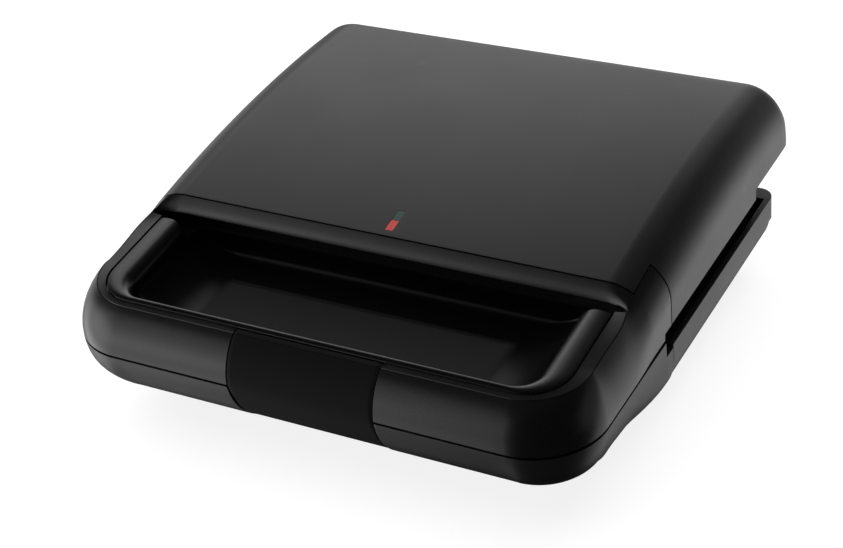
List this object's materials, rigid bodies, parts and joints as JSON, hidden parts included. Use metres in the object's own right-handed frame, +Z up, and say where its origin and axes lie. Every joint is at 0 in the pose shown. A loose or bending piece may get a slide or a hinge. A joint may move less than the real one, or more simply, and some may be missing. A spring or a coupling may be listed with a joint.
{
  "type": "sandwich toaster",
  "caption": "Countertop sandwich toaster with a rear-hinged domed lid, facing cooking plates with triangular pockets, a full-width grip with finger recess and a front latch.",
  "frame": {"origin": "centre of the footprint on the surface that the feet stand on", "axes": "+X to the right across the width, +Y from the grip to the hinge, +Z up"},
  "size_m": [0.24, 0.2426, 0.081],
  "materials": {
    "housing_plastic": "moulded black plastic, fine texture, satin",
    "grip_plastic": "moulded black plastic, satin",
    "cover_plastic": "moulded black plastic, fine texture, satin",
    "liner_plastic": "moulded black plastic, smooth satin",
    "latch_plastic": "moulded black plastic, soft matt",
    "frame_plastic": "moulded black heat-resistant plastic",
    "plate_coating": "cast aluminium with black non-stick coating",
    "heater_sheath": "tubular heater sheath, heat-tinted steel",
    "shield_sheet": "pressed bright sheet",
    "screw_steel": "zinc-plated steel",
    "pin_steel": "turned steel",
    "foot_rubber": "black rubber, matt",
    "gland_rubber": "black rubber, matt",
    "terminal_plastic": "ivory heat-resistant plastic",
    "ceramic": "unglazed ceramic",
    "fuse_metal": "tinned metal can",
    "red_lens_plastic": "clear red plastic",
    "green_lens_plastic": "clear dark green plastic",
    "lamp_glass": "clear glass",
    "board_laminate": "brown phenolic laminate"
  },
  "bodies": {
    "base": {"lower_housing": "housing_plastic", "lower_handle": "housing_plastic", "lower_plate": "plate_coating", "lower_heating_rod": "heater_sheath", "lower_heat_shield": "shield_sheet", "lower_plate_screws": "screw_steel", "lower_handle_screws": "screw_steel", "front_feet": "foot_rubber", "rear_feet": "foot_rubber", "hinge_pins": "pin_steel", "cord_gland": "gland_rubber", "terminal_block": "terminal_plastic", "terminal_screws": "screw_steel"},
    "lid": {"lid_cover": "cover_plastic", "upper_handle": "grip_plastic", "upper_handle_screws": "screw_steel", "handle_liner": "liner_plastic", "liner_screws": "screw_steel", "lid_frame": "frame_plastic", "lid_frame_screws": "screw_steel", "upper_plate": "plate_coating", "upper_plate_screws": "screw_steel", "upper_heating_rod": "heater_sheath", "upper_heat_shield": "shield_sheet", "heat_shield_screws": "screw_steel", "thermostat": "ceramic", "thermal_fuse": "fuse_metal", "fuse_clip": "pin_steel", "red_lens": "red_lens_plastic", "green_lens": "green_lens_plastic", "indicator_lamps": "lamp_glass", "lamp_board": "board_laminate", "lamp_board_screws": "screw_steel", "latch_pin": "pin_steel"},
    "latch": {"latch": "latch_plastic"}
  },
  "joints": [
    {"name": "lid_hinge", "type": "hinge", "parent": "base", "child": "lid", "pos_m": [0, 0.0953, 0.039], "axis": [-1, 0, 0], "range_deg": [0, 95]},
    {"name": "latch_hinge", "type": "hinge", "parent": "lid", "child": "latch", "pos_m": [0, -0.1087, 0.0564], "axis": [-1, 0, 0], "range_deg": [0, 10]}
  ]
}
